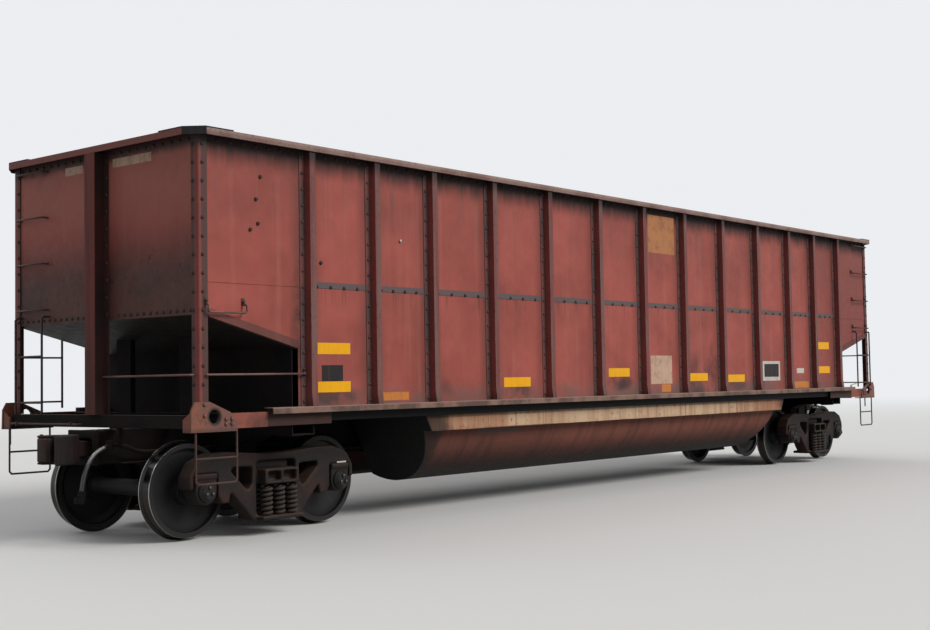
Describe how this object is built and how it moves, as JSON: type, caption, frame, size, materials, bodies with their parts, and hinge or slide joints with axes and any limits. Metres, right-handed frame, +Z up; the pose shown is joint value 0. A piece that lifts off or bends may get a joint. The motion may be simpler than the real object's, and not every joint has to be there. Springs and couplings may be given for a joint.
{
  "type": "open-top bathtub coal wagon",
  "caption": "Open-top coal wagon with ribbed red sides, sloping end floors and twin round-bottomed tubs between two swivelling four-wheel trucks.",
  "frame": {"origin": "on the floor under the middle of the wagon, where the wheel flanges stand", "axes": "X along the wagon, end b with the hand brake at +X, Y across it, +Z up"},
  "size_m": [16.22, 3.24, 3.867],
  "materials": {
    "body_red": "satin oxide red paint, sooty and faded",
    "post_red": "satin oxide red paint, dark with grime",
    "chord_red": "faded oxide red paint",
    "tub_steel": "paint streaked with rust and dust",
    "sill_black": "dusty black paint",
    "iron_bar": "worn paint on round bar",
    "brake_black": "dusty black paint",
    "hose_rubber": "dull black rubber",
    "rusty_casting": "rusty rough casting",
    "truck_casting": "rusty, dusty rough casting",
    "spring_steel": "rusty spring steel",
    "wheel_steel": "rusty plate with a bright worn tread"
  },
  "bodies": {
    "wagon_body": {"side_sheets": "body_red", "end_sheets": "body_red", "slope_floors": "body_red", "tubs": "tub_steel", "sill_hood": "tub_steel", "side_posts_near": "post_red", "side_posts_far": "post_red", "corner_posts": "post_red", "end_posts": "post_red", "side_chords": "chord_red", "end_chords": "chord_red", "corner_caps": "chord_red", "side_sills": "sill_black", "corner_gussets": "post_red", "end_sills": "sill_black", "centre_sill": "sill_black", "body_bolsters": "sill_black", "draft_boxes": "sill_black", "draft_gears": "sill_black", "slope_supports": "sill_black", "brake_gear_beams": "sill_black", "brake_step": "iron_bar", "sill_steps": "iron_bar", "ladders": "iron_bar", "grab_irons": "iron_bar", "handrails": "iron_bar", "uncoupling_levers": "iron_bar", "brake_reservoir": "brake_black", "brake_cylinder": "brake_black", "brake_valve": "brake_black", "brake_pipe": "brake_black", "hand_brake": "brake_black", "brake_hose_a": "hose_rubber", "brake_hose_b": "hose_rubber", "hose_coupling_a": "brake_black", "hose_coupling_b": "brake_black"},
    "coupler_a": {"coupler_a": "rusty_casting", "knuckle_a": "rusty_casting"},
    "coupler_b": {"coupler_b": "rusty_casting", "knuckle_b": "rusty_casting"},
    "truck_a": {"side_frames_a": "truck_casting", "truck_bolster_a": "truck_casting", "springs_a": "spring_steel", "bearings_a": "truck_casting", "brake_beams_a": "truck_casting"},
    "truck_b": {"side_frames_b": "truck_casting", "truck_bolster_b": "truck_casting", "springs_b": "spring_steel", "bearings_b": "truck_casting", "brake_beams_b": "truck_casting"},
    "wheelset_1": {"wheelset_1": "wheel_steel"},
    "wheelset_2": {"wheelset_2": "wheel_steel"},
    "wheelset_3": {"wheelset_3": "wheel_steel"},
    "wheelset_4": {"wheelset_4": "wheel_steel"}
  },
  "joints": [
    {"name": "truck_a_turn", "type": "hinge", "parent": "wagon_body", "child": "truck_a", "pos_m": [-6.172, 0, 0.67], "axis": [0, 0, 1], "range_deg": [-8, 8]},
    {"name": "coupler_a_swing", "type": "hinge", "parent": "wagon_body", "child": "coupler_a", "pos_m": [-7.13, 0, 0.901], "axis": [0, 0, 1], "range_deg": [-7, 7]},
    {"name": "truck_b_turn", "type": "hinge", "parent": "wagon_body", "child": "truck_b", "pos_m": [6.172, 0, 0.67], "axis": [0, 0, 1], "range_deg": [-8, 8]},
    {"name": "coupler_b_swing", "type": "hinge", "parent": "wagon_body", "child": "coupler_b", "pos_m": [7.13, 0, 0.901], "axis": [0, 0, 1], "range_deg": [-7, 7]},
    {"name": "wheelset_1_roll", "type": "hinge", "parent": "truck_a", "child": "wheelset_1", "pos_m": [-7.061, 0, 0.482], "axis": [0, 1, 0], "continuous": true},
    {"name": "wheelset_2_roll", "type": "hinge", "parent": "truck_a", "child": "wheelset_2", "pos_m": [-5.283, 0, 0.482], "axis": [0, 1, 0], "continuous": true},
    {"name": "wheelset_3_roll", "type": "hinge", "parent": "truck_b", "child": "wheelset_3", "pos_m": [5.283, 0, 0.482], "axis": [0, 1, 0], "continuous": true},
    {"name": "wheelset_4_roll", "type": "hinge", "parent": "truck_b", "child": "wheelset_4", "pos_m": [7.061, 0, 0.482], "axis": [0, 1, 0], "continuous": true}
  ]
}
